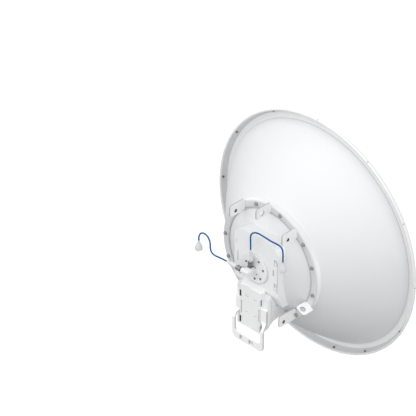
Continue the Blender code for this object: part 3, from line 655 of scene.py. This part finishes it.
def latch_into(frames, floors, left, low, right, high):
    """A latch on the cover: a raised frame, a floor painted dark as shade, a bar and a round button."""
    wall = 1.1
    top = COVER_BACK - 1.2
    for a, b in (
        ((left, top, low), (left + wall, COVER_BACK, high)),
        ((right - wall, top, low), (right, COVER_BACK, high)),
        ((left, top, low), (right, COVER_BACK, low + wall)),
        ((left, top, high - wall), (right, COVER_BACK, high)),
    ):
        box_into(frames, a, b, Matrix(), 0.4)
    box_into(floors, (left + wall, COVER_BACK - 0.3, low + wall), (right - wall, COVER_BACK, high - wall))
    middle = (left + right) / 2
    button = [(0, 0), (4.8, 0), (4.8, 1.4), (4.2, 1.9), (0, 1.9)]
    lathe_into(frames, button, at(middle, COVER_BACK, low + 9, TO_BACK), 24)
    bar = ((left + 2, COVER_BACK - 0.9, low + 14.8), (right - 2, COVER_BACK, low + 16.2))
    box_into(frames, *bar, Matrix(), 0.3)


def cover_details():
    frames = bmesh.new()
    floors = bmesh.new()
    strip_into(frames, *[cover_outline(inset) for inset in RAISED_LINE], COVER_BACK - 0.7, COVER_BACK + 0.1)
    for latch in LATCHES:
        latch_into(frames, floors, *latch)
    for left, low, right, high in COVER_SLOTS:
        # Slot floors painted dark as shade, a little proud of the face
        box_into(floors, (left, COVER_BACK - 0.35, low), (right, COVER_BACK, high), Matrix(), 0.15)
        box_into(frames, (left - 1.6, COVER_BACK - 1, low - 1), (left, COVER_BACK, high + 1), Matrix(), 0.4)
    box_into(frames, (-115, COVER_BACK - 1.8, -34), (-108, COVER_BACK + 1, -14), Matrix(), 0.8)
    finish_piece("cover_trim", frames, MOULDED)
    left, low, right, high = EDGE_LINE
    box_into(floors, (left, COVER_BACK - 0.25, low), (right, COVER_BACK + 1, high), Matrix(), 0.1)
    finish_piece("cover_recess_shade", floors, PAINTED_SHADE)
    # A gasket under the flange, greyed as painted shadow of the flange's edge
    profile = [(65.2, -80.8), (65.2, -75.4), (67, -75.1), (67.2, -76), (66.5, -80.4), (66, -80.8)]
    turned("flange_gasket_and_shadow", profile, TO_BORESIGHT, SOFT_PAINTED_SHADE, steps=96)


# Radio mount: pockets and slots lined as painted shade, ribs on the plate, the left side flange, fairings
# and the hoop's pockets with floors painted as shade

ARM_BACK = -93
POCKET_FLOOR = -77
PLATE_BACK = -101
# Pockets behind the plate's slots and notches, lined black as painted shade: left, lowest, right and highest
DARK_POCKETS = (
    (-54, -228, -49, -168), (41, -228, 46, -168), (-57.5, -152, -52, -120), (-57.5, -276, -52, -242),
)
# Notch pockets lined grey as lighter painted shade
SOFT_POCKETS = ((46, -152, 51.5, -120), (46, -276, 51.5, -242))
# Slots beside the plate's left edge, floored black as painted shade
SIDE_SLOTS = ((-69, -157, -60.2, -127), (-68.5, -279, -60.2, -250))
# Hook slots in the plate, floored black as painted shade, with a lip below each
HOOKS = ((-31, -135.5, -15, -131.5), (14, -135.5, 30, -131.5), (-31, -212, -15, -208), (14, -212, 30, -208))
# Left and right side of the plate's two upright ribs, and of the fairings
RIBS = ((-44.5, -41.5), (34, 37))
FAIRINGS = ((-84, -59.9), (57.4, 84))
HOOP_BACK = -120
HOOP_POCKETS = ((-42, -339, -27, -319), (8, -339, 31, -319))
# A fairing between lug, cover and brace, as (y, z) points
FAIRING = (
    (-93, -119.7), (-93, -112), (-90, -106), (-80, -96), (-76.5, -93.5), (-74, -93.5), (-43.4, -149.4),
    (-43.4, -156.6), (-71.4, -156.6), (-71.4, -119.7),
)


def lining_into(shape, left, low, right, high):
    """Thin walls and a floor that line a pocket of the mount arm, as painted shade in it."""
    left, low, right, high = left + 0.1, low + 0.1, right - 0.1, high - 0.1
    for a, b in (
        ((left, ARM_BACK, low), (left + 0.3, POCKET_FLOOR, high)),
        ((right - 0.3, ARM_BACK, low), (right, POCKET_FLOOR, high)),
        ((left, ARM_BACK, low), (right, POCKET_FLOOR, low + 0.3)),
        ((left, ARM_BACK, high - 0.3), (right, POCKET_FLOOR, high)),
        ((left, POCKET_FLOOR - 0.4, low), (right, POCKET_FLOOR - 0.1, high)),
    ):
        box_into(shape, a, b)


def fairing_into(shape, left, right):
    ends = [[shape.verts.new((x, y, z)) for y, z in FAIRING] for x in (left, right)]
    count = len(FAIRING)
    faces = [shape.faces.new(ends[0]), shape.faces.new(ends[1][::-1])]
    for i in range(count):
        j = (i + 1) % count
        faces.append(shape.faces.new((ends[0][i], ends[1][i], ends[1][j], ends[0][j])))
    edges = list(dict.fromkeys(edge for face in faces for edge in face.edges))
    round_edges(shape, edges, 2.2, 3, 0.5)


def mount_details():
    linings = bmesh.new()
    for pocket in DARK_POCKETS:
        lining_into(linings, *pocket)
    for left, low, right, high in HOOKS:
        box_into(linings, (left + 0.3, -94, low + 0.3), (right - 0.3, -93.1, high - 0.3))
    for left, low, right, high in SIDE_SLOTS:
        box_into(linings, (left, ARM_BACK - 0.5, low), (right, ARM_BACK - 0.1, high), Matrix(), 0.15)
    finish_piece("mount_pocket_painted_shade", linings, RUBBER_AND_SHADE)
    linings = bmesh.new()
    for pocket in SOFT_POCKETS:
        lining_into(linings, *pocket)
    finish_piece("mount_notch_painted_shade", linings, PAINTED_SHADE)
    ribs = bmesh.new()
    for left, right in RIBS:
        box_into(ribs, (left, PLATE_BACK - 1, -272), (right, PLATE_BACK + 0.5, -104), Matrix(), 0.6)
    box_into(ribs, (-40, PLATE_BACK - 0.5, -145), (33, PLATE_BACK + 0.5, -143), Matrix(), 0.3)
    for left, low, right, high in HOOKS:
        lip = ((left, PLATE_BACK - 0.8, low - 2.6), (right, PLATE_BACK + 0.5, low - 0.6))
        box_into(ribs, *lip, Matrix(), 0.5)
    finish_piece("mount_plate_ribs", ribs, MOULDED)
    flange = bmesh.new()
    box_into(flange, (-80, ARM_BACK, -288), (-59.8, ARM_BACK + 2.6, -231), Matrix(), 0.7)
    finish_piece("arm_side_flange", flange, MOULDED)
    fairings = bmesh.new()
    for left, right in FAIRINGS:
        fairing_into(fairings, left, right)
    finish_piece("lug_fairings", fairings, LUG_WHITE)
    # Grey floors in the hoop's pockets as painted shade
    floors = bmesh.new()
    for left, low, right, high in HOOP_POCKETS:
        pocket = ((left + 0.3, HOOP_BACK + 4.8, low + 0.3), (right - 0.3, HOOP_BACK + 5.4, high - 0.3))
        box_into(floors, *pocket)
    finish_piece("hoop_pocket_painted_shade", floors, SOFT_PAINTED_SHADE)


# Mouth side: the feed's ring of screws, its seals and the ridges along its tube

FEED_SCREW_R = 38.5
FEED_SCREW_DEPTH = -33.4
SEAL_DEPTHS = (-26, 78)
RIDGE_R = 30.2
# Depths where the ridges start and end
RIDGE_FROM = -14
RIDGE_TO = 68


def feed_details():
    shape = bmesh.new()
    for i in range(6):
        pan_head(shape, radial(60 * i + 30, FEED_SCREW_R, FEED_SCREW_DEPTH, TO_BORESIGHT), 2.6, 2)
    finish_piece("feed_collar_screws", shape, BOLT_STEEL)
    shape = bmesh.new()
    for depth in SEAL_DEPTHS:
        seal = [(30.1, depth), (31.4, depth + 0.4), (31.8, depth + 1.6), (31.4, depth + 2.8)]
        seal.append((30.1, depth + 3.2))
        lathe_into(shape, seal, TO_BORESIGHT, 64)
    finish_piece("feed_seals", shape, RUBBER_AND_SHADE)
    shape = bmesh.new()
    for i in range(8):
        ridge = radial(45 * i, RIDGE_R, 0, Matrix())
        box_into(shape, (-0.4, RIDGE_FROM, -1.2), (1.3, RIDGE_TO, 1.2), ridge, 0.5)
    finish_piece("feed_tube_ridges", shape, MOULDED)


# Ports, plugs and jumpers

# The ports' places on the transducer block
PORT_UP = Vector((-5, -100, 6))
PORT_LEFT = Vector((-24, -118, -6))
# Height of the block's bosses, the port's barrel on them and where the nut starts on the barrel
BOSS = 8
BARREL = 19
NUT_AT = 9
NUT_LENGTH = 20
SLEEVE_LENGTH = 33
RELIEF_LENGTH = 19
CABLE_R = 3.1
BOOT_R = 14.5
BOOT_LENGTH = 45
# From the boot's lower edge to the top of the small plug inside
END_PLUG_TOP = 24
# Points that each cable passes between its plug and its boot
ROUTE_1 = (
    (-5, -100, 118), (-4, -102, 148), (0, -103, 168), (14, -103, 184), (36, -103, 192),
    (70, -103, 192), (105, -103, 190), (148, -103, 191), (164, -103, 184), (169, -103, 168),
    (170, -103, 148), (170, -103, 125),
)
ROUTE_2 = (
    (-150, -118, -8), (-180, -118, -11), (-199, -118, -5), (-206, -118, 12), (-208, -118, 38),
    (-220, -118, 58), (-240, -118, 64), (-258, -118, 56), (-268, -118, 38), (-270, -118, 19),
)
ROUTE_STEP = 5


def port_piece(name, pose, node):
    """Square flange with four screws, a neck and a threaded barrel."""
    start = BOSS + GAP
    shape = bmesh.new()
    box_into(shape, (-11, -11, start), (11, 11, start + 3), pose, 1.2)
    for x, y in ((-7.6, -7.6), (7.6, -7.6), (7.6, 7.6), (-7.6, 7.6)):
        pan_head(shape, pose @ at(x, y, start + 3), 2.2, 1.6)
    thread = [(0, start + 3), (6.8, start + 3), (6.8, start + 6.5), (8.1, start + 7)]
    for i in range(10):
        height = start + 7.5 + i * 1.1
        thread += [(8.5, height), (8.0, height + 0.55)]
    thread += [(7.9, start + BARREL), (5.5, start + BARREL), (5.5, start + 12), (0, start + 12)]
    lathe_into(shape, thread, pose, 40)
    finish_piece(name, shape, STEEL, [node])


def plug_pieces(number, pose):
    """Knurled nut, milky stepped sleeve and strain relief. Returns two cable points and the pieces."""
    nut_start = BOSS + GAP + NUT_AT
    nut_end = nut_start + NUT_LENGTH
    shape = bmesh.new()
    ring = [(8.8, nut_start + 0.6), (9.8, nut_start), (10.8, nut_start + 0.8), (10.8, nut_start + 7)]
    ring += [(10.2, nut_start + 7.8), (8.8, nut_start + 7.8)]
    lathe_into(shape, ring, pose, 72, knurl=0.35, knurl_over=10.5)
    ring = [(8.8, nut_start + 8), (9.6, nut_start + 8), (9.6, nut_start + 10), (10.8, nut_start + 10.6)]
    ring += [(10.8, nut_end - 2), (10, nut_end - 1), (8.8, nut_end - 1)]
    lathe_into(shape, ring, pose, 48)
    core = [(0, nut_start + 13), (8.8, nut_start + 13), (9.4, nut_end - 1), (9.4, nut_end), (0, nut_end)]
    lathe_into(shape, core, pose, 32)
    nut = finish_piece(f"plug_{number}_knurled_nut", shape, STEEL, [f"plug_{number}_nut"])
    start = nut_end + GAP
    end = start + SLEEVE_LENGTH
    bore = CABLE_R + 0.9
    sleeve = [(bore, end), (8.6, end), (9.4, end - 1), (9.4, start + 19), (10.5, start + 17)]
    sleeve += [(10.5, start + 5), (10.1, start + 4.4), (10.5, start + 3.8), (10.5, start + 0.8)]
    sleeve += [(9.8, start), (bore, start)]
    outer = turned(
        f"plug_{number}_clear_sleeve", sleeve, pose, MILKY, [f"plug_{number}_sleeve"], 40
    )
    foot = end + GAP
    relief = [(bore, foot), (6, foot)]
    for i in range(4):
        height = foot + 2 + i * 4
        radius = 6 - 0.45 * i
        relief += [(radius, height), (radius, height + 2)]
        relief += [(radius - 0.8, height + 2.4), (radius - 0.8, height + 3.6)]
    relief += [(CABLE_R + 1, foot + RELIEF_LENGTH), (bore, foot + RELIEF_LENGTH)]
    collar = turned(
        f"plug_{number}_strain_relief", relief, pose, MILKY, [f"plug_{number}_relief"], 32
    )
    on_cable = [pose @ Vector((0, 0, z)) for z in (nut_end, foot + RELIEF_LENGTH + GAP)]
    return on_cable, [nut, outer, collar]


def end_pieces(number, hang_from):
    """Bell-shaped boot round the small plug at the loose end. Returns the cable's end and the pieces."""
    pose = at(*hang_from)
    start = -GAP
    end = start - BOOT_LENGTH
    bore = CABLE_R + 0.6
    outside = [(bore, start), (CABLE_R + 1.4, start), (CABLE_R + 2, start - 7), (7.5, start - 15)]
    outside += [(11.5, start - 23), (13.6, start - 29), (BOOT_R, start - 34), (BOOT_R, end + 3.4)]
    outside += [(BOOT_R - 0.6, end + 2.8), (BOOT_R, end + 2.2), (BOOT_R - 0.3, end + 0.5), (BOOT_R - 1, end)]
    inside = [(BOOT_R - 3, end), (BOOT_R - 3.4, end + 10), (8, end + 17), (6, end + 22), (bore, end + 30)]
    boot = turned(
        f"jumper_{number}_bell", outside + inside, pose, MILKY, [f"jumper_{number}_boot"]
    )
    shape = bmesh.new()
    top = end + END_PLUG_TOP
    plug = [(0, top), (4, top), (5.6, end + 20), (5.6, end + 9), (4.6, end + 8.4), (4.6, end + 2)]
    plug += [(3.6, end + 2), (3.6, end + 7), (0, end + 7)]
    lathe_into(shape, plug, pose, 36, knurl=0.25, knurl_over=5)
    shell = finish_piece(
        f"jumper_{number}_small_plug", shape, STEEL, [f"jumper_{number}_end_plug"]
    )
    contact = [(0, end + 3), (0.4, end + 3), (0.6, end + 3.6), (0.6, end + 7.4), (0, end + 7.4)]
    pin = turned(f"jumper_{number}_pin", contact, pose, BRASS, steps=12)
    return pose @ Vector((0, 0, top)), [boot, shell, pin]


def smooth_route(points, spacing):
    """Evenly spaced points on a smooth curve through the route's own points."""
    places = [Vector(p) for p in points]
    ends = [2 * places[0] - places[1]] + places + [2 * places[-1] - places[-2]]
    dense = []
    for before, start, end, after in zip(ends, ends[1:], ends[2:], ends[3:]):
        for i in range(24):
            t = i / 24
            dense.append(0.5 * (
                2 * start
                + (end - before) * t
                + (2 * before - 5 * start + 4 * end - after) * t**2
                + (3 * start - before - 3 * end + after) * t**3
            ))
    dense.append(places[-1])
    lengths = [0]
    for a, b in zip(dense, dense[1:]):
        lengths.append(lengths[-1] + (b - a).length)
    count = round(lengths[-1] / spacing)
    route = []
    index = 0
    for i in range(count + 1):
        goal = lengths[-1] * i / count
        while index < len(dense) - 2 and lengths[index + 1] < goal:
            index += 1
        part = (goal - lengths[index]) / (lengths[index + 1] - lengths[index])
        route.append(dense[index].lerp(dense[index + 1], min(1, max(0, part))))
    return route


def cable(number, ends, points, last):
    """The blue cable from inside its plug to inside its boot, as one curve."""
    route = smooth_route([*ends, *points, last], ROUTE_STEP)
    route = [TO_ROW @ p for p in route]
    curve = bpy.data.curves.new(f"jumper_{number}_blue_cable", "CURVE")
    curve.dimensions = "3D"
    curve.bevel_depth = CABLE_R * MM
    curve.bevel_resolution = 5
    curve.use_fill_caps = True
    curve.materials.append(BLUE)
    spline = curve.splines.new("POLY")
    spline.points.add(len(route) - 1)
    spline.use_smooth = True
    for point, where in zip(spline.points, route):
        point.co = (*where, 1)
    piece = bpy.data.objects.new(curve.name, curve)
    bpy.context.scene.collection.objects.link(piece)
    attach(piece, "root")
    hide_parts(f"jumper_{number}_cable")


def jumpers():
    for number, socket, node, pose, route in (
        (1, "port_vertical_socket", "port_vertical", Matrix.Translation(PORT_UP), ROUTE_1),
        (2, "port_horizontal_socket", "port_horizontal", Matrix.Translation(PORT_LEFT) @ TO_LEFT, ROUTE_2),
    ):
        port_piece(socket, pose, node)
        ends, plug = plug_pieces(number, pose)
        last, boot = end_pieces(number, route[-1])
        cable(number, ends, route, last)


# CAD nodes that keep their shape, with their finish and how far their edges are rounded

KEPT = {
    "mast_tab_upper_left": (TOP_TAB_WHITE, 0.8),
    "mast_tab_upper_right": (TAB_WHITE, 0.8),
    "mast_tab_lower_right": (TAB_WHITE, 0.8),
    "lifting_tab_top": (TOP_TAB_WHITE, 0.8),
    "lifting_tab_lower_right": (LOW_TAB_WHITE, 0.8),
    "back_cover": (COVER_WHITE, 0),
    "feed_flange": (MOULDED, 0),
    "feed_hub": (MOULDED, 0),
    "transducer_block": (CAST, 0.8),
    "mount_arm": (ARM_WHITE, 0),
    "mount_plate": (MOULDED, 0.7),
    "arm_brace_left": (MOULDED, 3),
    "arm_brace_right": (MOULDED, 3),
    "pivot_lug_left": (MOULDED, 0),
    "pivot_lug_right": (MOULDED, 0),
    "hoop_guard": (HOOP_WHITE, 0),
    "feed_collar": (RIM_WHITE, 0.8),
    "feed_tube": (MOULDED, 0.8),
    "feed_cone": (MOULDED, 0.8),
    "splash_plate": (MOULDED, 0),
}


def dress_nodes():
    for name, (material, width) in KEPT.items():
        node = frame["nodes"][name]
        node.data.materials.clear()
        node.data.materials.append(material)
        weld = node.modifiers.new("Weld", "WELD")
        weld.merge_threshold = 0.01 * MM
        if width:
            rounded = node.modifiers.new("Bevel", "BEVEL")
            rounded.width = width * MM
            rounded.segments = 3
            rounded.limit_method = "ANGLE"
            rounded.angle_limit = math.radians(30)


# Light, floor and backdrop

# Name, direction towards the light, strength and spread in degrees
LIGHTS = (
    ("key", (-0.35, -0.75, 1.3), 0.65, 75),
    ("side_fill", (0.9, -0.4, 0.35), 0.62, 70),
    ("left_fill", (-0.8, -0.6, 0.1), 0.25, 70),
)
# The dome's grey straight below, its strength, and the floor's height and half width in metres
DOME_LOW = 0.243
DOME_STRENGTH = 1.067
FLOOR_HEIGHT = -1.5
FLOOR_HALF = 60


def studio():
    scene = bpy.context.scene
    scene.view_settings.view_transform = "Standard"
    scene.view_settings.look = "None"
    world = bpy.data.worlds.new("studio")
    scene.world = world
    world.use_nodes = True
    nodes, links = world.node_tree.nodes, world.node_tree.links
    sky = nodes["Background"]
    coords = nodes.new("ShaderNodeTexCoord")
    split = nodes.new("ShaderNodeSeparateXYZ")
    links.new(coords.outputs["Generated"], split.inputs["Vector"])
    ramp = nodes.new("ShaderNodeValToRGB")
    ramp.color_ramp.elements[0].position = 0.0
    ramp.color_ramp.elements[0].color = (DOME_LOW, DOME_LOW, DOME_LOW, 1)
    ramp.color_ramp.elements[1].position = 1.0
    ramp.color_ramp.elements[1].color = (1, 1, 1, 1)
    height = nodes.new("ShaderNodeMapRange")
    height.inputs["From Min"].default_value = -1
    height.inputs["From Max"].default_value = 1
    links.new(split.outputs["Z"], height.inputs["Value"])
    links.new(height.outputs["Result"], ramp.inputs["Fac"])
    links.new(ramp.outputs["Color"], sky.inputs["Color"])
    sky.inputs["Strength"].default_value = DOME_STRENGTH
    white = nodes.new("ShaderNodeBackground")
    white.inputs["Color"].default_value = (1, 1, 1, 1)
    path = nodes.new("ShaderNodeLightPath")
    mix = nodes.new("ShaderNodeMixShader")
    links.new(path.outputs["Is Camera Ray"], mix.inputs["Fac"])
    links.new(sky.outputs["Background"], mix.inputs[1])
    links.new(white.outputs["Background"], mix.inputs[2])
    links.new(mix.outputs["Shader"], nodes["World Output"].inputs["Surface"])

    for name, toward, strength, spread in LIGHTS:
        light = bpy.data.lights.new(name, "SUN")
        light.energy = strength
        light.angle = math.radians(spread)
        lamp = bpy.data.objects.new(name, light)
        scene.collection.objects.link(lamp)
        lamp.rotation_euler = Vector(toward).to_track_quat("Z", "Y").to_euler()

    floor_mesh = bpy.data.meshes.new("floor")
    shape = bmesh.new()
    bmesh.ops.create_grid(shape, x_segments=1, y_segments=1, size=FLOOR_HALF)
    shape.to_mesh(floor_mesh)
    shape.free()
    floor = bpy.data.objects.new("floor", floor_mesh)
    floor.location.z = FLOOR_HEIGHT
    floor.visible_diffuse = False
    floor.visible_glossy = False
    pale = surface("pale_floor", (0.93, 0.93, 0.93), 0.9, tint=0.005, tint_size=2, grain=0.0008, bump=0.02)
    floor_mesh.materials.append(pale)
    scene.collection.objects.link(floor)


dish()
ring()
fasteners()
tabs()
cover_details()
mount_details()
feed_details()
jumpers()
dress_nodes()
studio()
